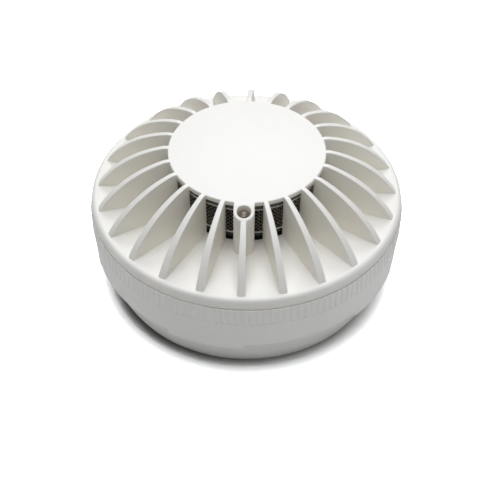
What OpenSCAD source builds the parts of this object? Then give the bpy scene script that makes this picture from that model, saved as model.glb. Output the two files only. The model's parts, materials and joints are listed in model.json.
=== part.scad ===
// Plug-in point heat detector: finned, screened head on a twist-lock ceiling base.
// Millimetres. Z = 0 is the face that lies on the ceiling, +Z points into the room.
// The indicator fin is at the front, towards -Y.

/* [Overall] */
// Diameter over the knurled band
overall_d = 117; // [116:0.5:120]
// Height of the deck that the fins stand on
deck_z = 39.4; // [39:0.1:41]
// Height of the top of the cap
cap_z = 57.9; // [57.5:0.1:60]

/* [Cap and fins] */
// Diameter of the cap
cap_d = 57.6; // [56:0.2:60]
// Thickness of the cap
cap_t = 1.85; // [1.5:0.05:2.1]
// Number of fins between the deck and the cap
fin_count = 24; // [16:1:26]
// Thickness of a fin at the cap
fin_t_in = 1.7; // [1.2:0.1:2]
// Thickness of a fin at its outer tip
fin_t_tip = 2.8; // [2.2:0.1:3.2]
// Radius from the axis to a fin's outer tip
fin_tip_r = 55.7; // [54:0.1:56]

/* [Indicator] */
// Distance from the axis to the indicator's centre
led_r = 32.4; // [32:0.1:34]
// Outer diameter of the indicator's boss
boss_d = 7.3; // [6.6:0.1:8]
// Bore of the boss
boss_bore_d = 4.8; // [4.6:0.1:5.5]

/* [Knurled band and skirt] */
// Number of ribs round the band
rib_count = 150; // [90:10:180]
// Height of a rib above the band
rib_h = 0.4; // [0.2:0.05:0.6]
// Parting line between the cover and the head body
band_top_z = 34.9; // [34:0.1:36]
// Lower ends of the ribs
band_bottom_z = 28; // [27:0.1:29]
// Lower edge of the skirt
skirt_edge_z = 16.4; // [16:0.1:17]
// Number of deeper tabs on the skirt's edge
tab_count = 5; // [3:1:6]
// Angle that one deeper tab covers
tab_span = 28; // [20:1:36]
// How far a tab reaches below the skirt's edge
tab_drop = 2; // [1:0.1:2.4]

/* [Sensing chamber] */
// Outside diameter of the insect screen
screen_d = 53.2; // [53:0.1:53.6]
// Lower edge of the open mesh
mesh_low_z = 41.4; // [41.2:0.1:41.6]
// Upper edge of the open mesh
mesh_top_z = 52.4; // [52:0.1:52.8]
// Number of light-trap vanes round the chamber
vane_count = 18; // [12:1:20]

/* [Base and mounting] */
// Diameter of the face on the ceiling
foot_d = 100.8; // [98:0.2:104]
// Cable entry through the middle of the base
cable_bore_d = 22; // [16:1:24]
// Distance between the two mounting slots
slot_spacing = 60; // [58:1:62]
// Width of a mounting slot
slot_w = 4.5; // [4:0.1:5]
// Length of a mounting slot, end to end
slot_l = 12; // [9:0.5:14]

/* [Bayonet and contacts] */
// Number of bayonet lugs
lug_count = 3; // [3]
// Turn from seated to locked, clockwise seen from the room
lock_angle = 20; // [16:1:20]
// Number of line terminals
terminal_count = 4; // [4]

/* [Hidden] */
$fn = 96;

// Clearances
play = 0.15;
turn_gap = 0.6;
lift_gap = 0.2;

// Base
base_r = 54.8;
base_in_r = 52.4;
base_flare = 3.4;
base_floor = 2.4;
base_belly_z = 17;
base_top_z = 22;
foot_r = foot_d / 2;
belly_in = base_r - foot_r;
belly_arc_r = (pow(base_belly_z, 2) + pow(belly_in, 2)) / (2 * belly_in);
collar_r = cable_bore_d / 2 + 2;
collar_z = 5;

// Bayonet
lug_span = 22;
lug_z = [12.6, 14.6];
lug_r = 51.4;
lug_wall_r = [45.8, 48];
ledge_z = [15, 17];
ledge_r = lug_wall_r[1] + turn_gap;
entry_half = lug_span / 2 + 3;
stop_span = 3;
stop_z = 11;
lug_start = 30;

// Head
body_r = overall_d / 2;
band_r = body_r - rib_h;
skirt_r = 57.7;
skirt_wall = 2.3;
head_in_r = skirt_r - skirt_wall;
plate_z = [20.4, 22.6];
plate_r = 51.6;
shelf_z = [plate_z[1], 24.6];
shelf_in_r = 30;
seal_r = [52.4, 54.6];
seal_z = [base_top_z + lift_gap, 23.8];
upper_in_r = band_r - 2;
parting_gap = 0.3;
rim_r = band_r - 0.2;
edge_round = 1.8;
deck_t = 2;
deck_in_r = 27.8;
tongue_r = [upper_in_r - 1.4, upper_in_r - play];
tongue_z = 30.5;

// Fins: the top edge is one arc that starts at the rim of the cap
cap_r = cap_d / 2;
fin_in_r = cap_r - 0.3;
arc_r0 = 20.6;
arc_z0 = deck_z - 21.6;
arc_rise = 0.3;
arc_r = norm([cap_r - arc_r0, cap_z + arc_rise - arc_z0]);

// Circuit board
board_z = [27, 28.6];
board_r = 50;
board_screw_r = 46;
plate_screw_r = 41;

// Chamber
floor_z = [38.2, 40.2];
chamber_r = 27.2;
vane_r = 21.5;
roof_z = [51.6, 53];
optic_z = 45.2;
optic_angle = 130;
frame_r = [25.6, 27.2];

// Contacts
contact_r = 26;
terminal_r = 36;
pad_z = 6.4;
strip_t = 0.8;
blade_foot_z = 8.6;

function rim_angle(i, count) = -90 + i * 360 / count;
function terminal_angle(i) = 45 + i * 360 / terminal_count;
function lug_angle(i) = lug_start + i * 360 / lug_count;

// Ring between two heights
module ring(r_out, r_in, z0, z1) {
    translate([0, 0, z0])
        difference() {
            cylinder(r = r_out, h = z1 - z0);
            translate([0, 0, -1])
                cylinder(r = r_in, h = z1 - z0 + 2);
        }
}

// Flat wedge from the axis, between two angles
module wedge(r, a0, a1) {
    steps = 8;
    polygon(concat(
        [[0, 0]],
        [for (i = [0:steps]) let(a = a0 + (a1 - a0) * i / steps) 1.1 * r * [cos(a), sin(a)]]
    ));
}

// Part of a ring between two angles
module ring_sector(r_out, r_in, z0, z1, a0, a1) {
    intersection() {
        ring(r_out, r_in, z0, z1);
        translate([0, 0, z0 - 1])
            linear_extrude(z1 - z0 + 2)
                wedge(r_out, a0, a1);
    }
}

// A block centred on x and y, standing on z0
module block(size, z0) {
    translate([-size[0] / 2, -size[1] / 2, z0])
        cube(size);
}

// Places a child at a radius and an angle round the axis
module at(r, a) {
    rotate([0, 0, a])
        translate([r, 0, 0])
            children();
}

// Pan-head screw: the head's seat is at z = 0 and the shank goes down
module screw(head_r, head_h, shank_r, shank_l) {
    slot_d = 0.6 * head_h;
    difference() {
        union() {
            cylinder(r = head_r, h = head_h);
            translate([0, 0, -shank_l])
                cylinder(r = shank_r, h = shank_l);
        }
        for (a = [0, 90])
            rotate([0, 0, a])
                block([1.5 * head_r, 0.8, head_h], head_h - slot_d);
    }
}

// ---------------------------------------------------------------- base

// Radius of the base's outside at a height: an arc that is upright at the belly
function belly(z) = base_r - belly_arc_r + sqrt(pow(belly_arc_r, 2) - pow(base_belly_z - z, 2));

module base_bowl() {
    steps = 12;
    rotate_extrude()
        difference() {
            polygon(concat(
                [for (i = [0:steps]) let(z = base_belly_z * i / steps) [belly(z), z]],
                [[base_r, base_top_z], [0, base_top_z], [0, 0]]
            ));
            polygon([
                [0, base_floor], [base_in_r - base_flare, base_floor], [base_in_r, stop_z - 1],
                [base_in_r, base_top_z + 1], [0, base_top_z + 1]
            ]);
        }
}

// Ledge that holds a lug down, with a stop at each end of the turn
module bayonet_catch() {
    wall_r = base_in_r + 0.8;
    locked_end = lock_angle + lug_span / 2 + 1.5;
    ring_sector(wall_r, ledge_r, ledge_z[0], ledge_z[1], -locked_end - stop_span, -entry_half);
    ring_sector(wall_r, ledge_r, stop_z, ledge_z[1], -locked_end - stop_span, -locked_end);
    ring_sector(wall_r, ledge_r, stop_z, ledge_z[0], lug_span / 2 + 1.5, entry_half + 1.5);
}

module slot_hole(length, width, h) {
    linear_extrude(h)
        union() {
            square([length - width, width], center = true);
            for (side = [-1, 1])
                translate([side * (length - width) / 2, 0])
                    circle(d = width);
        }
}

module base_shell() {
    slot_rim = 2;
    color([0.66, 0.67, 0.65])
        difference() {
            union() {
                base_bowl();
                translate([0, 0, base_floor - 0.4])
                    cylinder(r = collar_r, h = collar_z - base_floor + 0.4);
                for (side = [-1, 1])
                    translate([side * slot_spacing / 2, 0, base_floor - 0.4])
                        slot_hole(slot_l + 2 * slot_rim, slot_w + 2 * slot_rim, 1.4);
                for (i = [0:terminal_count - 1])
                    at(terminal_r, terminal_angle(i))
                        block([14, 13, pad_z - 2], 2);
                for (i = [0:lug_count - 1])
                    rotate([0, 0, lug_angle(i)])
                        bayonet_catch();
            }
            translate([0, 0, -1])
                cylinder(d = cable_bore_d, h = collar_z + 2);
            for (side = [-1, 1])
                translate([side * slot_spacing / 2, 0, -1])
                    slot_hole(slot_l, slot_w, collar_z + 2);
            for (i = [0:terminal_count - 1])
                at(terminal_r, terminal_angle(i))
                    translate([0, 0, base_floor])
                        cylinder(r = 1.8, h = pad_z);
        }
}

// Strip under the terminal screw, with a leaf that rises towards the axis
module contact_spring() {
    inner = contact_r - terminal_r;
    difference() {
        translate([0, 3.5, 0])
            rotate([90, 0, 0])
                linear_extrude(7)
                    polygon([
                        [6, pad_z], [6, pad_z + strip_t], [-5, pad_z + strip_t],
                        [inner + 1, pad_z + 1.8], [inner - 1, pad_z + 1.8], [inner - 3, pad_z + 0.9],
                        [inner - 3, pad_z + 0.1], [inner - 1, pad_z + 1],
                        [inner + 1, pad_z + 1], [-5, pad_z]
                    ]);
        translate([0, 0, pad_z - 1])
            cylinder(r = 1.8, h = 3);
    }
}

module contact_springs() {
    color([0.82, 0.76, 0.52])
        for (i = [0:terminal_count - 1])
            at(terminal_r, terminal_angle(i))
                contact_spring();
}

module clamp_plates() {
    color([0.75, 0.76, 0.78])
        for (i = [0:terminal_count - 1])
            at(terminal_r, terminal_angle(i))
                difference() {
                    block([8.4, 8.4, 1], pad_z + strip_t);
                    translate([0, 0, pad_z])
                        cylinder(r = 1.8, h = 3);
                }
}

module terminal_screws() {
    seat_z = pad_z + strip_t + 1;
    color([0.80, 0.80, 0.78])
        for (i = [0:terminal_count - 1])
            at(terminal_r, terminal_angle(i))
                translate([0, 0, seat_z])
                    screw(3.2, 2.2, 1.75, seat_z - base_floor - 0.2);
}

// Rubber ring between the rim of the base and the head's shelf
module seal_ring() {
    color([0.16, 0.16, 0.16])
        ring(seal_r[1], seal_r[0], seal_z[0], seal_z[1]);
}

// ---------------------------------------------------------------- head, outside

// Cross-section of the knurled band: one flat-topped rib per pitch
module knurl_outline() {
    pitch = 360 / rib_count;
    polygon([
        for (i = [0:rib_count - 1], p = [[-0.28, 0], [-0.22, 1], [0.22, 1], [0.28, 0]])
            let(a = (i + p[0]) * pitch, r = band_r + p[1] * rib_h)
                [r * cos(a), r * sin(a)]
    ]);
}

module head_body_wall() {
    top_z = band_top_z - parting_gap / 2;
    groove_z = shelf_z[0] + 1.4;
    difference() {
        union() {
            translate([0, 0, band_bottom_z])
                linear_extrude(top_z - band_bottom_z)
                    knurl_outline();
            translate([0, 0, skirt_edge_z])
                cylinder(r1 = skirt_r, r2 = band_r, h = band_bottom_z - skirt_edge_z);
            translate([0, 0, skirt_edge_z - tab_drop])
                intersection() {
                    cylinder(r = skirt_r, h = tab_drop + 0.1);
                    linear_extrude(tab_drop + 0.1)
                        for (i = [0:tab_count - 1])
                            rotate([0, 0, rim_angle(i, tab_count) + 1])
                                wedge(skirt_r, -tab_span, 0);
                }
        }
        translate([0, 0, skirt_edge_z - tab_drop - 1])
            cylinder(r = head_in_r, h = groove_z - skirt_edge_z + tab_drop + 1);
        translate([0, 0, shelf_z[0] - 0.5])
            cylinder(r = shelf_in_r, h = 20);
        translate([0, 0, shelf_z[1]])
            cylinder(r = upper_in_r, h = 20);
    }
    ring(seal_r[0] - 0.2, shelf_in_r, shelf_z[0], shelf_z[1]);
    ring(band_r - 1, head_in_r - 0.6, groove_z, shelf_z[1]);
}

module head_body() {
    color([0.68, 0.69, 0.67])
        difference() {
            union() {
                head_body_wall();
                ring(upper_in_r + 0.5, seal_r[0] - 1, shelf_z[1] - 0.6, shelf_z[1]);
                for (i = [0:2]) {
                    at(board_screw_r, 60 + i * 120)
                        translate([0, 0, shelf_z[1] - 0.2])
                            cylinder(r = 3, h = board_z[0] - shelf_z[1] + 0.2);
                    at(plate_screw_r, i * 120)
                        translate([0, 0, shelf_z[1] - 0.2])
                            cylinder(r = 3, h = 2.2);
                }
            }
            for (i = [0:2]) {
                at(board_screw_r, 60 + i * 120)
                    translate([0, 0, shelf_z[0] - 1])
                        cylinder(r = 1.3, h = 6);
                at(plate_screw_r, i * 120)
                    translate([0, 0, shelf_z[0] - 1])
                        cylinder(r = 1.45, h = 6);
            }
        }
}

// Region below the arc of the fins' top edges
module under_arc(r_in, r_out, z0) {
    intersection() {
        translate([arc_r0, arc_z0])
            circle(r = arc_r, $fn = 180);
        translate([r_in, z0])
            square([r_out - r_in, cap_z - z0]);
    }
}

// Fin: the arc profile, thicker towards its tip
module fin() {
    foot_z = deck_z - 0.5;
    spare = 0.1;
    taper = (fin_t_tip - fin_t_in) / 2 / (fin_tip_r - fin_in_r);
    near = fin_t_in / 2 - taper * spare;
    far = fin_t_tip / 2 + taper * spare;
    intersection() {
        translate([0, 5, 0])
            rotate([90, 0, 0])
                linear_extrude(10)
                    under_arc(fin_in_r, fin_tip_r, foot_z);
        translate([0, 0, foot_z - spare])
            linear_extrude(cap_z - foot_z + 2 * spare)
                polygon([
                    [fin_in_r - spare, -near], [fin_tip_r + spare, -far],
                    [fin_tip_r + spare, far], [fin_in_r - spare, near]
                ]);
    }
}

// Boss round the indicator, joined to the cap and cut off along the fins' arc
module indicator_boss() {
    back_r = cap_r - 0.8;
    intersection() {
        at(led_r, -90)
            translate([0, 0, deck_z - 1])
                linear_extrude(cap_z - deck_z + 2) {
                    circle(d = boss_d);
                    translate([back_r - led_r, -boss_d / 2])
                        square([led_r - back_r, boss_d]);
                }
        rotate_extrude()
            under_arc(back_r - 1, led_r + boss_d, deck_z - 1);
    }
}

// Deck with its rounded rim, side wall and the tongue inside the head body
module cover_shell() {
    low_z = band_top_z + parting_gap / 2;
    wall = rim_r - tongue_r[1] + 0.4;
    rotate_extrude() {
        difference() {
            union() {
                translate([deck_in_r + 0.5, low_z])
                    square([rim_r - edge_round - deck_in_r - 0.5, deck_z - low_z]);
                translate([deck_in_r, low_z])
                    square([2, deck_z - low_z - 0.4]);
                translate([rim_r - edge_round, deck_z - edge_round])
                    circle(r = edge_round);
                translate([rim_r - edge_round - 1, low_z])
                    square([edge_round + 1, deck_z - edge_round - low_z]);
            }
            translate([0, low_z - 5])
                square([rim_r - wall, deck_z - deck_t - low_z + 5]);
            translate([0, low_z - 5])
                square([rim_r + 1, 5]);
        }
        translate([tongue_r[0], tongue_z])
            square([tongue_r[1] - tongue_r[0], deck_z - deck_t - tongue_z + 0.2]);
    }
}

module cap() {
    round_r = 0.6;
    rotate_extrude() {
        translate([0, cap_z - cap_t])
            square([cap_r - round_r, cap_t]);
        translate([0, cap_z - cap_t])
            square([cap_r, cap_t - round_r]);
        translate([cap_r - round_r, cap_z - round_r])
            circle(r = round_r);
    }
}

module finned_cover() {
    color([0.95, 0.95, 0.93])
        difference() {
            union() {
                cover_shell();
                cap();
                for (i = [0:fin_count - 1])
                    rotate([0, 0, rim_angle(i, fin_count)])
                        fin();
                indicator_boss();
            }
            at(led_r, -90)
                translate([0, 0, deck_z - deck_t - 2])
                    cylinder(d = boss_bore_d, h = cap_z - deck_z + 10);
        }
}

// ---------------------------------------------------------------- head, inside

// Rear moulding with the bayonet lugs
module back_plate() {
    color([0.90, 0.90, 0.87])
        difference() {
            union() {
                translate([0, 0, plate_z[0]])
                    cylinder(r = plate_r, h = plate_z[1] - plate_z[0]);
                ring(lug_wall_r[1], lug_wall_r[0], lug_z[0], plate_z[0] + 0.2);
                for (i = [0:lug_count - 1])
                    rotate([0, 0, lug_angle(i)])
                        ring_sector(lug_r, lug_wall_r[1] - 0.6, lug_z[0], lug_z[1],
                            -lug_span / 2, lug_span / 2);
            }
            for (i = [0:2])
                at(plate_screw_r, i * 120)
                    translate([0, 0, plate_z[0] - 1])
                        cylinder(r = 1.6, h = 4);
            for (i = [0:terminal_count - 1])
                at(contact_r, terminal_angle(i) + lock_angle)
                    block([strip_t + 2 * play, 7 + 2 * play, 4], plate_z[0] - 1);
        }
}

module back_plate_screws() {
    color([0.78, 0.78, 0.76])
        for (i = [0:2])
            at(plate_screw_r, i * 120)
                translate([0, 0, plate_z[0]])
                    mirror([0, 0, 1])
                        screw(2.8, 1.6, 1.4, 6);
}

// Blade soldered to the board, with a foot that wipes over the base's leaf
module contact_blades() {
    color([0.83, 0.78, 0.56])
        for (i = [0:terminal_count - 1])
            at(contact_r, terminal_angle(i) + lock_angle) {
                block([strip_t, 7, board_z[0] - blade_foot_z], blade_foot_z);
                translate([-2, 0, 0])
                    block([4, 7, strip_t], blade_foot_z);
            }
}

module circuit_board() {
    color([0.10, 0.36, 0.20])
        difference() {
            translate([0, 0, board_z[0]])
                cylinder(r = board_r, h = board_z[1] - board_z[0]);
            for (i = [0:2])
                at(board_screw_r, 60 + i * 120)
                    translate([0, 0, board_z[0] - 1])
                        cylinder(r = 1.6, h = 4);
        }
}

module board_screws() {
    color([0.78, 0.78, 0.76])
        for (i = [0:2])
            at(board_screw_r, 60 + i * 120)
                translate([0, 0, board_z[1]])
                    screw(2.6, 1.6, 1.25, 5.4);
}

module microcontroller() {
    color([0.12, 0.12, 0.13])
        at(38, 15) {
            block([9, 9, 1.4], board_z[1] + 0.1);
            for (side = [-1, 1], k = [-3:3])
                translate([side * 5, k * 1.1, board_z[1]])
                    translate([-0.6, -0.2, 0])
                        cube([1.2, 0.4, 0.6]);
        }
}

module capacitors() {
    color([0.20, 0.22, 0.28])
        for (a = [165, 187])
            at(38, a)
                translate([0, 0, board_z[1]])
                    cylinder(r = 4, h = 7.4);
}

module surge_suppressors() {
    color([0.20, 0.20, 0.20])
        for (a = [208, 222])
            at(38, a)
                block([3, 5, 2.2], board_z[1]);
}

module resistors() {
    color([0.15, 0.15, 0.15])
        for (a = [30 : 6 : 48], r = [34, 38])
            at(r, a)
                block([2, 1.25, 0.5], board_z[1]);
}

// Tinned screen under the receiver's amplifier
module shield_can() {
    can = [14, 12, 3];
    wall = 0.3;
    color([0.80, 0.81, 0.82])
        difference() {
            block(can, board_z[0] - can[2]);
            block([can[0] - 2 * wall, can[1] - 2 * wall, can[2]], board_z[0] - can[2] + wall);
        }
}

// Holder for one optical element, its bore level and towards the axis
module optic_holder() {
    difference() {
        block([9, 8, optic_z + 4 - floor_z[1] + 0.2], floor_z[1] - 0.2);
        translate([-6, 0, optic_z])
            rotate([0, 90, 0])
                cylinder(r = 2.6, h = 20);
        translate([3.1, 0, floor_z[1] - 1])
            cylinder(r = 1.8, h = 6);
    }
}

module chamber_base() {
    color([0.07, 0.07, 0.07])
        difference() {
            union() {
                translate([0, 0, floor_z[0]])
                    cylinder(r = chamber_r, h = floor_z[1] - floor_z[0]);
                ring(26, 24, board_z[1], floor_z[0] + 0.2);
                for (side = [-1, 1])
                    at(13.5, 90 + side * optic_angle / 2)
                        optic_holder();
            }
            for (side = [-1, 1])
                at(16.6, 90 + side * optic_angle / 2)
                    translate([0, 0, floor_z[0] - 1])
                        cylinder(r = 1.8, h = 4);
            for (a = [0, 180])
                at(24.3, a)
                    translate([0, 0, floor_z[0] - 12])
                        cylinder(r = 1.5, h = 16);
        }
}

// Light-trap lid: slanted vanes that overlap, so that no straight line passes between them, under a roof
module chamber_cover() {
    leg = 8;
    slant = 63;
    color([0.08, 0.08, 0.08]) {
        translate([0, 0, roof_z[0]])
            cylinder(r = vane_r + 1, h = roof_z[1] - roof_z[0]);
        for (i = [0:vane_count - 1])
            at(vane_r - 1, i * 360 / vane_count)
                rotate([0, 0, slant])
                    block([leg, 0.8, roof_z[0] - floor_z[1] + 0.1], floor_z[1]);
    }
}

// Optical element on its side: barrel, domed nose, flange and two leads
module optic(barrel_r) {
    lead_x = 4;
    translate([-2.5, 0, optic_z])
        rotate([0, 90, 0])
            cylinder(r = barrel_r, h = 5);
    translate([-2.5, 0, optic_z])
        sphere(r = barrel_r);
    for (side = [-1, 1]) {
        translate([2.4, side * 0.6, optic_z])
            rotate([0, 90, 0])
                cylinder(r = 0.25, h = lead_x - 2.4);
        translate([lead_x - 0.3, side * 0.6, board_z[1]])
            cylinder(r = 0.25, h = optic_z - board_z[1] + 0.25);
    }
}

module infrared_emitter() {
    color([0.35, 0.38, 0.55])
        at(13.5, 90 + optic_angle / 2)
            optic(2.5);
}

module photodiode() {
    color([0.15, 0.12, 0.16])
        at(13.5, 90 - optic_angle / 2)
            optic(2.4);
}

// Bead thermistors on two leads each, behind the screen
module thermistors() {
    bead_z = 47;
    color([0.12, 0.20, 0.12])
        for (a = [0, 180])
            at(24.3, a) {
                translate([0, 0, bead_z])
                    sphere(r = 1.1);
                for (side = [-1, 1])
                    translate([0, side * 0.6, board_z[1]])
                        cylinder(r = 0.22, h = bead_z - board_z[1]);
            }
}

// Black frame that carries the mesh
module screen_frame() {
    collar_top = cap_z - cap_t;
    lip = 0.6;
    posts = 8;
    color([0.10, 0.10, 0.10]) {
        ring(frame_r[1], frame_r[0], floor_z[1], mesh_low_z);
        ring(frame_r[1] - lip, frame_r[0] - 0.8, mesh_top_z, collar_top);
        ring(frame_r[1], frame_r[0], mesh_top_z, mesh_top_z + 0.7);
        for (i = [0:posts - 1])
            at(frame_r[0] - 0.15, (i + 0.25) * 360 / posts)
                block([0.7, 1, mesh_top_z - mesh_low_z + 0.4], mesh_low_z - 0.2);
    }
}

module insect_screen() {
    color([0.32, 0.30, 0.27])
        ring(screen_d / 2, screen_d / 2 - 0.3, mesh_low_z, mesh_top_z);
}

module indicator_led() {
    color([0.85, 0.30, 0.25])
        at(led_r, -90)
            block([2.8, 3.2, 1.7], board_z[1]);
}

// Clear rod from the indicator to its domed end in the boss
module light_guide() {
    guide_r = boss_bore_d / 2 - play;
    dome_z = cap_z - 3.5;
    color([0.85, 0.86, 0.86])
        at(led_r, -90)
            intersection() {
                union() {
                    translate([0, 0, board_z[1] + 2])
                        cylinder(r = guide_r, h = dome_z - board_z[1] - 2);
                    translate([0, 0, dome_z])
                        sphere(r = guide_r);
                }
                block([10, 10, cap_z], board_z[1] + 1);
            }
}

base_shell();
contact_springs();
clamp_plates();
terminal_screws();
seal_ring();
head_body();
back_plate();
back_plate_screws();
contact_blades();
circuit_board();
board_screws();
microcontroller();
capacitors();
surge_suppressors();
resistors();
shield_can();
chamber_base();
chamber_cover();
infrared_emitter();
photodiode();
thermistors();
screen_frame();
insect_screen();
indicator_led();
light_guide();
finned_cover();
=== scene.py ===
"""Visual model of a plug-in point heat detector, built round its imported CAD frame.

Sizes are in millimetres in the CAD frame and become metres with MM: +Z points into the room, -Y is the front.
Lights, shader distances and the floor are in metres.
"""
import json
import math

import bmesh
import bpy
from mathutils import Matrix, Vector


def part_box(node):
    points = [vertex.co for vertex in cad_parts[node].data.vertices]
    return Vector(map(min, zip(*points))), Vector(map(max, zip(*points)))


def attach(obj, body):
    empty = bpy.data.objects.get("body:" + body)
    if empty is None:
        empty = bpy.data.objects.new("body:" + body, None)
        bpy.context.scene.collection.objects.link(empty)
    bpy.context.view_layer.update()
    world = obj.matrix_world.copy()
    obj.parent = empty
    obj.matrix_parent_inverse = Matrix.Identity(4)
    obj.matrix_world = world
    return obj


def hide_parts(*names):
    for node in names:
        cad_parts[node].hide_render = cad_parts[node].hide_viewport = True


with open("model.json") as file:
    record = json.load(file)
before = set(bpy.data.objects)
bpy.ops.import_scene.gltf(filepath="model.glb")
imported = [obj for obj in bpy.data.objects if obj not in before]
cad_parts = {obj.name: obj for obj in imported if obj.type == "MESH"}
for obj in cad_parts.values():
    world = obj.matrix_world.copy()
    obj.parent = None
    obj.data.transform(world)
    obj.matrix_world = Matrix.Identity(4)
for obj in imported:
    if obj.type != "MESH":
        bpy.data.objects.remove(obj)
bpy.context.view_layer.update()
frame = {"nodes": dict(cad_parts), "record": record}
scene = bpy.context.scene

# ------------------------------------------------------------------ sizes

MM = 0.001


def low(node, axis):
    """Lowest coordinate of a CAD node along an axis, in millimetres."""
    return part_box(node)[0][axis] / MM


def high(node, axis):
    """Highest coordinate of a CAD node along an axis, in millimetres."""
    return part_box(node)[1][axis] / MM


X, Y, Z = 0, 1, 2
CAP_Z = high("finned_cover", Z)
TONGUE_Z = low("finned_cover", Z)
BODY_R = high("head_body", X)
BAND_TOP_Z = high("head_body", Z)
TAB_Z = low("head_body", Z)
MESH_Z = (low("insect_screen", Z), high("insect_screen", Z))
MESH_R = high("insect_screen", X)
# The weave reaches a little past the CAD screen, up to the collar
COLLAR_Z = MESH_Z[1] + 0.8
FRAME_Z = (low("screen_frame", Z), high("screen_frame", Z))
FRAME_R = high("screen_frame", X)
GUIDE_Z = (low("light_guide", Z), high("light_guide", Z))
GUIDE_R = (high("light_guide", X) - low("light_guide", X)) / 2
LED_R = -(high("light_guide", Y) + low("light_guide", Y)) / 2

# Cover
DECK_Z = 39.4
DECK_T = 2.0
DECK_IN_R = 27.8
CAP_R = 28.8
CAP_T = 1.85
RIM_R = 57.9
RIM_ROUND = 1.8
RIM_LOW_Z = BAND_TOP_Z + 0.3
FIN_COUNT = 24
FIN_IN_R = CAP_R - 0.3
FIN_TIP_R = 55.7
FIN_T_IN = 1.7
FIN_T_TIP = 2.8
# Centre and radius of the arc that the fins' top edges follow, in the plane of a fin
ARC_R0 = 20.6
ARC_Z0 = DECK_Z - 21.6
ARC_R = math.hypot(CAP_R - ARC_R0, CAP_Z + 0.3 - ARC_Z0)
BOSS_R = 3.65
BORE_R = 2.4

# Head body, with ribs in low relief
RIB_COUNT = 150
RIB_H = 0.2
BAND_R = BODY_R - RIB_H
BAND_LOW_Z = 28.0
SKIRT_R = 57.7
SKIRT_IN_R = 55.4
SKIRT_Z = TAB_Z + 2.0
UPPER_IN_R = 56.1
# Shelf: its underside, the step above the seal, its top; then its inner edge and the seal's inner edge
SHELF_Z = (22.6, 24.0, 24.6)
SHELF_R = (30.0, 52.2)
BOARD_SCREW_R = 46.0
PLATE_SCREW_R = 41.0
TAB_COUNT = 5
TAB_SPAN = 28.0
TAB_START = -89.0

# ------------------------------------------------------------------ mesh helpers


def polar(r, degrees, z):
    """Point at a radius and an angle round the axis, in metres."""
    a = math.radians(degrees)
    return Vector((r * math.cos(a), r * math.sin(a), z)) * MM


def new_object(name, verts, faces):
    """Object from vertices in metres, with its normals made consistent."""
    mesh = bpy.data.meshes.new(name)
    mesh.from_pydata([tuple(v) for v in verts], [], faces)
    bm = bmesh.new()
    bm.from_mesh(mesh)
    bmesh.ops.remove_doubles(bm, verts=bm.verts, dist=1e-7)
    bmesh.ops.recalc_face_normals(bm, faces=bm.faces)
    bm.to_mesh(mesh)
    bm.free()
    obj = bpy.data.objects.new(name, mesh)
    scene.collection.objects.link(obj)
    return obj


def rounded(corners, steps=6):
    """Closed outline from (x, y, radius) corners, with each corner that has a radius rounded by an arc."""
    outline = []
    count = len(corners)
    for i, (x, y, radius) in enumerate(corners):
        here = Vector((x, y))
        if radius == 0:
            outline.append((x, y))
            continue
        before = (Vector(corners[i - 1][:2]) - here).normalized()
        after = (Vector(corners[(i + 1) % count][:2]) - here).normalized()
        half = before.angle(after) / 2
        start = here + before * radius / math.tan(half)
        centre = here + (before + after).normalized() * radius / math.sin(half)
        a0 = math.atan2(start.y - centre.y, start.x - centre.x)
        end = here + after * radius / math.tan(half)
        a1 = math.atan2(end.y - centre.y, end.x - centre.x)
        turn = (a1 - a0 + math.pi) % (2 * math.pi) - math.pi
        for k in range(steps + 1):
            a = a0 + turn * k / steps
            outline.append((centre.x + radius * math.cos(a), centre.y + radius * math.sin(a)))
    return outline


def loft(name, loops, closed=True, caps=False):
    """Skin of quads through loops of equal length; closed joins the last loop to the first."""
    verts = [v for loop in loops for v in loop]
    size = len(loops[0])
    faces = []
    for i in range(len(loops) if closed else len(loops) - 1):
        a, b = i * size, (i + 1) % len(loops) * size
        for k in range(size):
            n = (k + 1) % size
            faces.append((a + k, a + n, b + n, b + k))
    if caps:
        faces.append(tuple(range(size)))
        faces.append(tuple((len(loops) - 1) * size + k for k in range(size)))
    return new_object(name, verts, faces)


def revolve(name, outline, segments=256, centre=(0, 0)):
    """Closed (r, z) outline turned round a vertical axis."""
    shift = Vector((centre[0], centre[1], 0)) * MM
    loops = [[polar(r, 360 * i / segments, z) + shift for r, z in outline] for i in range(segments)]
    return loft(name, loops)


def bake(obj):
    """Applies the object's modifiers to its mesh."""
    graph = bpy.context.evaluated_depsgraph_get()
    mesh = bpy.data.meshes.new_from_object(obj.evaluated_get(graph))
    obj.modifiers.clear()
    obj.data = mesh


def combine(obj, other, operation):
    """Boolean of two closed meshes; the second one is used up."""
    mod = obj.modifiers.new("combine", "BOOLEAN")
    mod.operation = operation
    mod.solver = "MANIFOLD"
    mod.object = other
    bake(obj)
    bpy.data.objects.remove(other)
    return obj


def join(name, parts):
    """One object from several meshes, as they lie."""
    bm = bmesh.new()
    for part in parts:
        bm.from_mesh(part.data)
    mesh = bpy.data.meshes.new(name)
    bm.to_mesh(mesh)
    bm.free()
    for part in parts:
        bpy.data.objects.remove(part)
    obj = bpy.data.objects.new(name, mesh)
    scene.collection.objects.link(obj)
    return obj


def repeat(name, obj, angles):
    """Copies of a mesh turned round the axis, as one object."""
    bm = bmesh.new()
    for degrees in angles:
        copy = obj.data.copy()
        copy.transform(Matrix.Rotation(math.radians(degrees), 4, "Z"))
        bm.from_mesh(copy)
        bpy.data.meshes.remove(copy)
    mesh = bpy.data.meshes.new(name)
    bm.to_mesh(mesh)
    bm.free()
    bpy.data.objects.remove(obj)
    made = bpy.data.objects.new(name, mesh)
    scene.collection.objects.link(made)
    return made


def smooth(obj):
    """Smooth shading with sharp edges above 35 degrees."""
    obj.data.shade_smooth()
    obj.data.set_sharp_from_angle(angle=math.radians(35))


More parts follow.
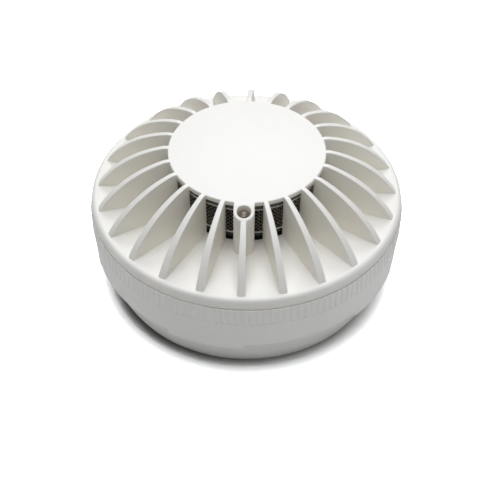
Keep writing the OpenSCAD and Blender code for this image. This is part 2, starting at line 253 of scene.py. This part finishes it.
def piece(obj, body, material, slot, *nodes):
    """Hands a finished mesh to the frame."""
    smooth(obj)
    obj.data.materials.clear()
    obj.data.materials.append(material)
    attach(obj, body)
    if nodes:
        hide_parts(*nodes)


# ------------------------------------------------------------------ materials


def node_material(name):
    """Empty node material: returns it with its tree and its surface shader."""
    mat = bpy.data.materials.new(name)
    mat.use_nodes = True
    tree = mat.node_tree
    return mat, tree, tree.nodes["Principled BSDF"]


def noise(tree, scale, detail=3.0):
    """Noise in the object's own coordinates."""
    coords = tree.nodes.new("ShaderNodeTexCoord")
    node = tree.nodes.new("ShaderNodeTexNoise")
    node.inputs["Scale"].default_value = scale
    node.inputs["Detail"].default_value = detail
    node.inputs["Roughness"].default_value = 0.55
    tree.links.new(coords.outputs["Object"], node.inputs["Vector"])
    return node.outputs["Fac"]


def spread(tree, source, low_value, high_value):
    """Maps a 0 to 1 value onto a range."""
    node = tree.nodes.new("ShaderNodeMapRange")
    node.inputs["To Min"].default_value = low_value
    node.inputs["To Max"].default_value = high_value
    tree.links.new(source, node.inputs["Value"])
    return node.outputs["Result"]


def bump(tree, shader, height, distance):
    """Bump from a height, in metres."""
    node = tree.nodes.new("ShaderNodeBump")
    node.inputs["Distance"].default_value = distance
    node.inputs["Strength"].default_value = 1.0
    tree.links.new(height, node.inputs["Height"])
    tree.links.new(node.outputs["Normal"], shader.inputs["Normal"])


def mottled(tree, scale, colour, amount):
    """A colour that drifts a little lighter and darker over the surface."""
    darker = tuple(c * (1 - amount) for c in colour)
    lighter = tuple(min(1, c * (1 + amount)) for c in colour)
    fac = noise(tree, scale)
    node = tree.nodes.new("ShaderNodeValToRGB")
    for element, position, tone in zip(node.color_ramp.elements, (0.3, 0.7), (darker, lighter)):
        element.position = position
        element.color = (*tone, 1)
    tree.links.new(fac, node.inputs["Fac"])
    return node.outputs["Color"]


def plastic(name, colour, rough=(0.42, 0.55), drift=0.012, grain=0.00001, grain_scale=2600, scatter=0.0):
    """Moulded plastic with a fine spark-eroded grain.

    rough is the lowest and highest roughness, drift the share that the colour wanders, grain its depth in
    metres and scatter the weight of light scattered under the surface.
    """
    mat, tree, shader = node_material(name)
    tree.links.new(mottled(tree, 45, colour, drift), shader.inputs["Base Color"])
    tree.links.new(spread(tree, noise(tree, 90), *rough), shader.inputs["Roughness"])
    bump(tree, shader, noise(tree, grain_scale, 2.0), grain)
    shader.inputs["IOR"].default_value = 1.5
    if scatter:
        shader.inputs["Subsurface Weight"].default_value = scatter
        shader.inputs["Subsurface Radius"].default_value = (0.0016, 0.0013, 0.0009)
        shader.inputs["Subsurface Scale"].default_value = 1.0
    return mat


def metal(name, colour):
    """Rolled or plated metal with faint stains."""
    mat, tree, shader = node_material(name)
    shader.inputs["Metallic"].default_value = 1.0
    tree.links.new(mottled(tree, 260, colour, 0.05), shader.inputs["Base Color"])
    tree.links.new(spread(tree, noise(tree, 500), 0.25, 0.42), shader.inputs["Roughness"])
    bump(tree, shader, noise(tree, 1500), 0.000006)
    return mat


def shade_tinted_clear_plastic():
    """Clear moulded acrylic, faintly clouded, with a dark brown colour that is painted shade for the dark
    inside seen through the rod.
    """
    mat, tree, shader = node_material("clear_lens")
    # Painted shade: the dark brown colour stands in for the shaded inside seen through the clear rod
    tree.links.new(mottled(tree, 400, (0.36, 0.27, 0.18), 0.05), shader.inputs["Base Color"])
    tree.links.new(spread(tree, noise(tree, 700), 0.16, 0.26), shader.inputs["Roughness"])
    shader.inputs["Transmission Weight"].default_value = 0.6
    shader.inputs["IOR"].default_value = 1.49
    bump(tree, shader, noise(tree, 900), 0.000004)
    return mat


def board_green():
    """Solder mask with faint traces showing through."""
    mat, tree, shader = node_material("board_green")
    coords = tree.nodes.new("ShaderNodeTexCoord")
    traces = tree.nodes.new("ShaderNodeTexBrick")
    traces.inputs["Scale"].default_value = 260
    traces.inputs["Mortar Size"].default_value = 0.06
    traces.inputs["Color1"].default_value = (0.03, 0.20, 0.09, 1)
    traces.inputs["Color2"].default_value = (0.035, 0.23, 0.10, 1)
    traces.inputs["Mortar"].default_value = (0.05, 0.30, 0.13, 1)
    tree.links.new(coords.outputs["Object"], traces.inputs["Vector"])
    tree.links.new(traces.outputs["Color"], shader.inputs["Base Color"])
    tree.links.new(spread(tree, noise(tree, 300), 0.22, 0.35), shader.inputs["Roughness"])
    bump(tree, shader, traces.outputs["Fac"], 0.00002)
    return mat


MATERIALS = {
    "cover_white": plastic("cover_white", (0.93, 0.90, 0.815), (0.36, 0.46), scatter=0.1),
    "shell_grey": plastic("shell_grey", (0.915, 0.905, 0.825)),
    # The base is darker than the shell: partly its own grey, partly painted shade under the skirt's overhang
    "base_grey_and_painted_shade": plastic("base_grey_and_painted_shade", (0.83, 0.82, 0.76)),
    "back_white": plastic("back_white", (0.82, 0.81, 0.78)),
    "frame_black": plastic("frame_black", (0.035, 0.035, 0.037), (0.35, 0.5), 0.1),
    # The collar is lighter than the frame's black: partly its own dark grey, partly painted light on the
    # collar, with the ring below kept black for its shade
    "collar_grey_and_painted_light": plastic("collar_grey_and_painted_light", (0.085, 0.085, 0.088), (0.35, 0.5), 0.1),
    "chamber_black": plastic("chamber_black", (0.012, 0.012, 0.012), (0.6, 0.75), 0.15),
    "screen_mesh": plastic("screen_mesh", (0.37, 0.32, 0.25), (0.3, 0.45), 0.1),
    # The metal hems are drawn as pale diffuse plastic: their brightness is a painted sheen for the light the
    # metal edges reflect
    "hem_metal_painted_sheen": plastic("hem_metal_painted_sheen", (0.90, 0.86, 0.78), (0.3, 0.45), 0.06),
    "clear_lens": shade_tinted_clear_plastic(),
    "led_red": plastic("led_red", (0.45, 0.06, 0.04), (0.2, 0.3)),
    "contact_metal": metal("contact_metal", (0.78, 0.69, 0.47)),
    "plated_steel": metal("plated_steel", (0.70, 0.70, 0.67)),
    "tinned_steel": metal("tinned_steel", (0.76, 0.77, 0.78)),
    "seal_rubber": plastic("seal_rubber", (0.03, 0.03, 0.032), (0.7, 0.85), 0.2, 0.00004, 1800),
    "board_green": board_green(),
    "chip_black": plastic("chip_black", (0.03, 0.03, 0.032), (0.45, 0.6), 0.15),
    "can_blue": plastic("can_blue", (0.05, 0.07, 0.14), (0.25, 0.35), 0.1),
    "emitter_blue": plastic("emitter_blue", (0.10, 0.11, 0.26), (0.1, 0.2), 0.05),
    "photodiode_dark": plastic("photodiode_dark", (0.03, 0.02, 0.035), (0.1, 0.2), 0.1),
    "thermistor_bead": plastic("thermistor_bead", (0.04, 0.09, 0.04), (0.2, 0.35), 0.15),
}

# ------------------------------------------------------------------ finned cover


def arc_z(r):
    """Height of the fins' top edges at a radius."""
    return ARC_Z0 + math.sqrt(ARC_R ** 2 - (r - ARC_R0) ** 2)


def fin():
    """One fin along +X, thicker towards its tip, from its foot's fillet to its rounded top edge."""
    sink = 0.5
    fillet = 0.25
    edge = 0.28
    tip_round = 0.8
    tip_pinch = 0.55
    steps = 48
    stations = [FIN_IN_R + (FIN_TIP_R - tip_round - FIN_IN_R) * i / steps for i in range(steps + 1)]
    stations += [FIN_TIP_R - tip_round * (1 - math.sin(math.radians(a))) for a in range(10, 91, 10)]
    loops = []
    for r in stations:
        height = min(arc_z(r), CAP_Z - 0.02) - DECK_Z
        into_tip = max(0.0, (r - (FIN_TIP_R - tip_round)) / tip_round)
        along = (r - FIN_IN_R) / (FIN_TIP_R - FIN_IN_R)
        thickness = FIN_T_IN + (FIN_T_TIP - FIN_T_IN) * along
        half = thickness / 2 - tip_pinch * (1 - math.sqrt(1 - into_tip ** 2))
        bend = min(fillet, 0.45 * height)
        curl = min(edge, 0.45 * height, 0.8 * half)
        side = [(half + bend, -sink)]
        side += [
            (half + bend * (1 - math.sin(a)), bend * (1 - math.cos(a)))
            for a in (math.radians(d) for d in (0, 18, 36, 54, 72, 90))
        ]
        side += [(half, bend + (height - curl - bend) * t) for t in (0.33, 0.66)]
        side += [
            (half - curl * (1 - math.cos(a)), height - curl * (1 - math.sin(a)))
            for a in (math.radians(d) for d in (0, 22, 45, 67, 90))
        ]
        section = side + [(-y, z) for y, z in reversed(side)]
        loops.append([Vector((r, y, DECK_Z + z)) * MM for y, z in section])
    return loft("fin", loops, closed=False, caps=True)


def boss_outline(radius, back):
    """Plan of the boss: round in front, straight-sided back to a line behind the bore."""
    arc_steps = 48
    side_steps = 6
    turn = [math.pi + math.pi * i / arc_steps for i in range(arc_steps + 1)]
    front = [Vector((radius * math.cos(a), radius * math.sin(a) - LED_R)) for a in turn]
    run = LED_R - back
    right = [Vector((radius, run * i / side_steps - LED_R)) for i in range(1, side_steps + 1)]
    rear = [Vector((radius - radius * i / side_steps, -back)) for i in range(1, 2 * side_steps)]
    left = [Vector((-radius, run * (1 - i / side_steps) - LED_R)) for i in range(side_steps)]
    return front + right + rear + left


def boss():
    """Tube round the light guide, its rim cut along the fins' arc.

    Each ring is a share of the way from the bore to the outside, a shift outwards and a drop below the arc,
    where None is the foot.
    """
    edge = 0.28
    lead = 0.4
    foot_z = DECK_Z - 1
    centre = Vector((0, -LED_R))
    rings = (
        (1, 0, None), (1, 0, edge), (1, -0.3 * edge, 0.3 * edge), (1, -edge, 0), (0.7, 0, 0), (0.4, 0, 0),
        (0, lead, 0), (0, 0.3 * lead, 0.3 * lead), (0, 0, lead), (0, 0, None),
    )
    loops = []
    for share, shift, drop in rings:
        loop = []
        for point in boss_outline(BOSS_R, CAP_R - 0.8):
            out = point - centre
            x, y = centre + out.normalized() * (BORE_R + share * (out.length - BORE_R) + shift)
            top = min(arc_z(math.hypot(x, y)), CAP_Z - 0.01)
            loop.append(Vector((x, y, foot_z if drop is None else top - drop)) * MM)
        loops.append(loop)
    return loft("boss", loops)


def boss_room():
    """What the boss takes the place of: the start of the front fin."""
    outline = boss_outline(BOSS_R - 0.1, CAP_R + 0.1)
    return loft("boss_room", [
        [Vector((x, y, z)) * MM for x, y in outline] for z in (DECK_Z + 0.2, CAP_Z + 1)
    ], closed=False, caps=True)


def bore():
    """Hole through the deck for the light guide."""
    radius = BORE_R - 0.02
    top = DECK_Z + 1
    return revolve("bore", [(0, TONGUE_Z), (radius, TONGUE_Z), (radius, top), (0, top)], 64, (0, -LED_R))


def finned_cover():
    """Cap, deck, rim and tongue turned round the axis, joined to the fins and the boss."""
    tongue = (54.7, 55.95)
    deck_low = DECK_Z - DECK_T
    shell = revolve("finned_cover", rounded([
        (DECK_IN_R, deck_low, 0.3), (DECK_IN_R, DECK_Z - 0.05, 0.6), (RIM_R, DECK_Z, RIM_ROUND),
        (RIM_R, RIM_LOW_Z, 0.25), (tongue[1], RIM_LOW_Z, 0), (tongue[1], TONGUE_Z, 0.3),
        (tongue[0], TONGUE_Z, 0.3), (tongue[0], deck_low, 0.4),
    ], 8), 360)
    cap_low = CAP_Z - CAP_T
    cap = revolve("cap", rounded([
        (0, cap_low, 0), (CAP_R, cap_low, 0.25), (CAP_R, CAP_Z, 0.45), (0, CAP_Z, 0),
    ], 6), 360)
    fins = repeat("fins", fin(), [-90 + 360 * i / FIN_COUNT for i in range(FIN_COUNT)])
    combine(shell, cap, "UNION")
    combine(shell, fins, "UNION")
    combine(shell, boss_room(), "DIFFERENCE")
    combine(shell, boss(), "UNION")
    combine(shell, bore(), "DIFFERENCE")
    return shell


piece(finned_cover(), "head", MATERIALS["cover_white"], "cover_white", "finned_cover")

# ------------------------------------------------------------------ head body


def skirt_edge(degrees):
    """Height of the skirt's lower edge at an angle: five deeper tabs."""
    period = 360 / TAB_COUNT
    into = (TAB_START - degrees) % period
    return TAB_Z if into < TAB_SPAN else SKIRT_Z


def band_columns():
    """Angles of the mesh's columns, with the height of the rib there as a share of its full height."""
    pitch = 360 / RIB_COUNT
    profile = ((-0.5, 0), (-0.29, 0), (-0.265, 0.75), (-0.23, 1), (0, 1), (0.23, 1), (0.265, 0.75), (0.29, 0))
    return [((i + part) * pitch, rise) for i in range(RIB_COUNT) for part, rise in profile]


def head_body():
    """Knurled band, tabbed skirt and inner shelf as one closed skin of columns, grooved below each rib."""
    edge_cut = 0.12
    slope = (BAND_R - SKIRT_R) / (BAND_LOW_Z - SKIRT_Z)
    loops = []
    for degrees, rise in band_columns():
        groove = 0.3 * rise
        top_z = BAND_TOP_Z + 0.03 + 0.22 * rise
        edge = skirt_edge(degrees)
        outer_r = SKIRT_R + slope * max(0.0, edge - SKIRT_Z)
        rib_r = BAND_R + RIB_H * rise
        outline = [
            (BAND_R - 0.7, top_z), (rib_r - 0.1, top_z), (rib_r, top_z - 0.1),
            (rib_r, BAND_LOW_Z + 0.1), (rib_r - 0.1 * rise, BAND_LOW_Z),
            (BAND_R - groove, BAND_LOW_Z - 0.02), (BAND_R - groove, BAND_LOW_Z - 0.25),
            (BAND_R - 0.01, BAND_LOW_Z - 0.4),
            (SKIRT_R + slope * 6, SKIRT_Z + 6), (SKIRT_R + slope * 1.2, SKIRT_Z + 1.2),
            (outer_r, edge + edge_cut), (outer_r - 0.3 * edge_cut, edge + 0.3 * edge_cut),
            (outer_r - edge_cut, edge),
            (SKIRT_IN_R + 0.3, edge), (SKIRT_IN_R, edge + 0.3),
            (SKIRT_IN_R, SHELF_Z[1]), (SHELF_R[1], SHELF_Z[1]), (SHELF_R[1], SHELF_Z[0]),
            (SHELF_R[0], SHELF_Z[0]), (SHELF_R[0], SHELF_Z[2]), (UPPER_IN_R, SHELF_Z[2]),
            (UPPER_IN_R, BAND_TOP_Z - 0.3), (UPPER_IN_R + 0.3, BAND_TOP_Z),
        ]
        loops.append([polar(r, degrees, z) for r, z in outline])
    return loft("head_body", loops)


def posts():
    """Board posts and screw bosses on the shelf."""
    hole_r = 1.45
    post_r = 3.0
    foot_z = SHELF_Z[2] - 0.3
    edge_cut = 0.2
    board_z = low("circuit_board", Z)
    made = []
    for radius, first, top in ((BOARD_SCREW_R, 60, board_z), (PLATE_SCREW_R, 0, SHELF_Z[2] + 2)):
        for i in range(3):
            a = math.radians(first + 120 * i)
            centre = (radius * math.cos(a), radius * math.sin(a))
            made.append(revolve("post", [
                (hole_r, foot_z), (post_r, foot_z), (post_r, top - edge_cut), (post_r - edge_cut, top),
                (hole_r, top),
            ], 48, centre))
    return join("posts", made)


piece(combine(head_body(), posts(), "UNION"), "head", MATERIALS["shell_grey"], "shell_grey", "head_body")

# ------------------------------------------------------------------ screen


def strand(hand, pitch_angle, wire_r):
    """One wire at 45 degrees round the ring, passing over and under the wires that cross it."""
    sides = 5
    mid_r = MESH_R - 2 * wire_r
    z0, z1 = MESH_Z[0] - 0.15, COLLAR_Z
    span = (z1 - z0) / mid_r
    steps = round(span / (pitch_angle / 4))
    ring = []
    for i in range(steps + 1):
        s = span * i / steps
        radius = mid_r + hand * 0.9 * wire_r * math.cos(2 * math.pi * s / pitch_angle)
        centre = Vector((radius * math.cos(hand * s), radius * math.sin(hand * s), z0 + mid_r * s))
        out = Vector((math.cos(hand * s), math.sin(hand * s), 0))
        along = Vector((-hand * out.y, hand * out.x, 1)).normalized()
        across = along.cross(out)
        ring.append([
            (centre + wire_r * (math.cos(t) * out + math.sin(t) * across)) * MM
            for t in (2 * math.pi * k / sides for k in range(sides))
        ])
    return loft("strand", ring, closed=False, caps=True)


def insect_screen():
    """Plain weave of fine wire on the bias."""
    count = 100
    wire_r = 0.09
    pitch_angle = 2 * math.pi / count
    turns = [360 * i / count for i in range(count)]
    return join("insect_screen", [
        repeat("leaning_left", strand(1, pitch_angle, wire_r), turns),
        repeat("leaning_right", strand(-1, pitch_angle, wire_r), turns),
    ])


def screen_hems():
    """Folded metal edges of the screen, top and bottom."""
    height = 0.5
    gap = 0.02
    made = []
    for z, width in ((MESH_Z[0] + gap, 0.4), (COLLAR_Z - height - gap, 0.8)):
        out_r = MESH_R + width
        top = z + height
        made.append(revolve("hem", rounded([
            (MESH_R, z, 0.08), (out_r, z, 0.18), (out_r, top, 0.18), (MESH_R, top, 0.08),
        ], 4)))
    return join("screen_hems", made)


def screen_frame():
    """Black ring below the mesh, with posts behind it."""
    post_count = 8
    deep, wide, corner = 0.35, 0.5, 0.15
    inner = FRAME_R - 1.6
    ring = revolve("screen_frame", rounded([
        (inner, FRAME_Z[0], 0.1), (FRAME_R, FRAME_Z[0], 0.1),
        (FRAME_R, MESH_Z[0], 0.25), (inner, MESH_Z[0], 0.1),
    ], 4))
    section = rounded([
        (-deep, -wide, corner), (deep, -wide, corner), (deep, wide, corner), (-deep, wide, corner),
    ], 3)
    post = loft("post", [
        [Vector((inner - 0.15 + x, y, z)) * MM for x, y in section] for z in (MESH_Z[0] - 0.2, COLLAR_Z)
    ], closed=False, caps=True)
    turns = [360 * (i + 0.25) / post_count for i in range(post_count)]
    return combine(ring, repeat("posts", post, turns), "UNION")


def screen_collar():
    """Dark ring above the mesh, up to the cap."""
    inner = FRAME_R - 2.4
    top = FRAME_Z[1]
    return revolve("screen_collar", rounded([
        (inner, COLLAR_Z, 0.1), (FRAME_R, COLLAR_Z, 0.2), (FRAME_R, top, 0.2), (inner, top, 0.1),
    ], 4))


piece(insect_screen(), "head", MATERIALS["screen_mesh"], "screen_mesh", "insect_screen")
piece(screen_hems(), "head", MATERIALS["hem_metal_painted_sheen"], "screen_mesh")
piece(screen_collar(), "head", MATERIALS["collar_grey_and_painted_light"], "frame_black")
piece(screen_frame(), "head", MATERIALS["frame_black"], "frame_black", "screen_frame")

# ------------------------------------------------------------------ light guide


def light_guide():
    """Clear rod with a shallow domed end."""
    dome_h = 1.3
    dome_z = GUIDE_Z[1] - dome_h
    foot_z = GUIDE_Z[0]
    outline = [(0, foot_z)] + rounded([(GUIDE_R, foot_z, 0.2), (GUIDE_R, dome_z, 0), (0, dome_z, 0)], 4)[:-1]
    outline += [
        (GUIDE_R * math.cos(a), dome_z + dome_h * math.sin(a))
        for a in (math.radians(d) for d in range(6, 91, 6))
    ]
    return revolve("light_guide", outline, 64, (0, -LED_R))


piece(light_guide(), "head", MATERIALS["clear_lens"], "clear_lens", "light_guide")

# ------------------------------------------------------------------ CAD nodes that stay

# Nodes that look different from the rest of their slot; the base's darker grey is partly its own tone and
# partly painted shade under the skirt's overhang
OWN_MATERIAL = {"base_shell": "base_grey_and_painted_shade"}

for entry in frame["record"]["subparts"]:
    obj = frame["nodes"][entry["node"]]
    if obj.hide_render:
        continue
    obj.data.materials.clear()
    obj.data.materials.append(MATERIALS[OWN_MATERIAL.get(entry["node"], entry["material_slot"])])

# ------------------------------------------------------------------ camera, floor and light

# The camera stands off the deck's centre by CAMERA_OFFSET, counted in CAMERA_UNIT along its own right, up and
# back axes; angles are in degrees
CAMERA_ELEVATION = 44.99
CAMERA_AZIMUTH = 1.32
CAMERA_ROLL = 0.69
CAMERA_OFFSET = Vector((0.022, -0.421, 7.542))
CAMERA_UNIT = 55.8
CAMERA_LENS = 80.9
SENSOR = 36.0
FLOOR_COLOUR = (0.92, 0.92, 0.92)
FLOOR_SEEN = (3.4, 3.4, 3.4)


def add_camera():
    """Camera above the front, looking down at the deck."""
    e, a, r = (math.radians(v) for v in (CAMERA_ELEVATION, CAMERA_AZIMUTH, CAMERA_ROLL))
    back = Vector((math.sin(a) * math.cos(e), -math.cos(a) * math.cos(e), math.sin(e)))
    right = Vector((math.cos(a), math.sin(a), 0))
    up = back.cross(right)
    right, up = math.cos(r) * right + math.sin(r) * up, math.cos(r) * up - math.sin(r) * right
    turn = Matrix((right, up, back)).transposed()
    data = bpy.data.cameras.new("camera")
    data.sensor_width = SENSOR
    data.lens = CAMERA_LENS
    data.clip_start = 0.01
    cam = bpy.data.objects.new("camera", data)
    cam.matrix_world = Matrix.Translation(
        (turn @ CAMERA_OFFSET * CAMERA_UNIT + Vector((0, 0, DECK_Z))) * MM
    ) @ turn.to_4x4()
    scene.collection.objects.link(cam)
    scene.camera = cam


def contact_shade(tree, reach, lean, floor_share, darkest):
    """Painted shadow: darkening of the floor's colour close to the object, seen towards a leaning direction.

    The occlusion from floor_share to 1 becomes a brightness from darkest to 1.
    """
    near = tree.nodes.new("ShaderNodeAmbientOcclusion")
    near.inputs["Distance"].default_value = reach
    towards = tree.nodes.new("ShaderNodeCombineXYZ")
    for axis, value in zip("XYZ", Vector(lean).normalized()):
        towards.inputs[axis].default_value = value
    tree.links.new(towards.outputs["Vector"], near.inputs["Normal"])
    share = tree.nodes.new("ShaderNodeMapRange")
    share.inputs["From Min"].default_value = floor_share
    share.inputs["To Min"].default_value = darkest
    tree.links.new(near.outputs["AO"], share.inputs["Value"])
    return share.outputs["Result"]


def add_floor():
    """White floor under the object, shown brighter than it lights the object, as a lit table is, with a
    painted contact shadow darkening its colour close to the object.
    """
    size = 3.0
    corners = ((-size, -size, 0), (size, -size, 0), (size, size, 0), (-size, size, 0))
    floor = new_object("floor", corners, [(0, 1, 2, 3)])
    mat, tree, shader = node_material("floor_white")
    tree.links.new(mottled(tree, 3, FLOOR_COLOUR, 0.004), shader.inputs["Base Color"])
    shader.inputs["Roughness"].default_value = 0.9
    shader.inputs["Specular IOR Level"].default_value = 0.1
    seen = tree.nodes.new("ShaderNodeBsdfDiffuse")
    shade = tree.nodes.new("ShaderNodeMath")
    shade.operation = "MULTIPLY"
    # Painted contact shadow: two occlusion shades multiply the floor's colour near the object
    wide = contact_shade(tree, reach=0.008, lean=(0, 0, 1), floor_share=0.4, darkest=0.45)
    narrow = contact_shade(tree, reach=0.0035, lean=(0.6, 0.6, 0.5), floor_share=0.25, darkest=0.12)
    tree.links.new(wide, shade.inputs[0])
    tree.links.new(narrow, shade.inputs[1])
    tint = tree.nodes.new("ShaderNodeVectorMath")
    tint.operation = "SCALE"
    tint.inputs[0].default_value = FLOOR_SEEN
    tree.links.new(shade.outputs["Value"], tint.inputs["Scale"])
    tree.links.new(tint.outputs["Vector"], seen.inputs["Color"])
    path = tree.nodes.new("ShaderNodeLightPath")
    mix = tree.nodes.new("ShaderNodeMixShader")
    tree.links.new(path.outputs["Is Camera Ray"], mix.inputs["Fac"])
    tree.links.new(shader.outputs["BSDF"], mix.inputs[1])
    tree.links.new(seen.outputs["BSDF"], mix.inputs[2])
    tree.links.new(mix.outputs["Shader"], tree.nodes["Material Output"].inputs["Surface"])
    floor.data.materials.append(mat)


def add_area(name, place, aim, size, watts, colour):
    """Soft box aimed at a point."""
    data = bpy.data.lights.new(name, "AREA")
    data.shape = "DISK"
    data.size = size
    data.energy = watts
    data.color = colour
    light = bpy.data.objects.new(name, data)
    direction = Vector(aim) - Vector(place)
    light.matrix_world = Matrix.Translation(place) @ direction.to_track_quat("-Z", "Y").to_matrix().to_4x4()
    scene.collection.objects.link(light)


def add_world(colour, strength, seen_strength):
    """Even light from all round, seen as bright as the far floor."""
    world = bpy.data.worlds.new("studio")
    world.use_nodes = True
    tree = world.node_tree
    light = tree.nodes["Background"]
    light.inputs["Color"].default_value = (*colour, 1)
    light.inputs["Strength"].default_value = strength
    seen = tree.nodes.new("ShaderNodeBackground")
    seen.inputs["Color"].default_value = (*colour, 1)
    seen.inputs["Strength"].default_value = seen_strength
    path = tree.nodes.new("ShaderNodeLightPath")
    mix = tree.nodes.new("ShaderNodeMixShader")
    tree.links.new(path.outputs["Is Camera Ray"], mix.inputs["Fac"])
    tree.links.new(light.outputs["Background"], mix.inputs[1])
    tree.links.new(seen.outputs["Background"], mix.inputs[2])
    tree.links.new(mix.outputs["Shader"], tree.nodes["World Output"].inputs["Surface"])
    scene.world = world


add_camera()
add_floor()
add_world((1.0, 1.0, 0.99), strength=0.185, seen_strength=0.66)
add_area("key", (-0.01, 0.0, 0.56), (0, 0, 0.03), 0.44, 1.72, (0.965, 1.0, 1.11))
add_area("back", (0.0, 0.85, 0.95), (0, 0, 0.05), 0.6, 4.7, (0.98, 1.0, 1.05))
add_area("side", (1.1, -0.35, 0.16), (0, 0, 0.03), 0.5, 0.8, (0.92, 0.97, 1.1))
scene.view_settings.view_transform = "Standard"
scene.view_settings.look = "None"
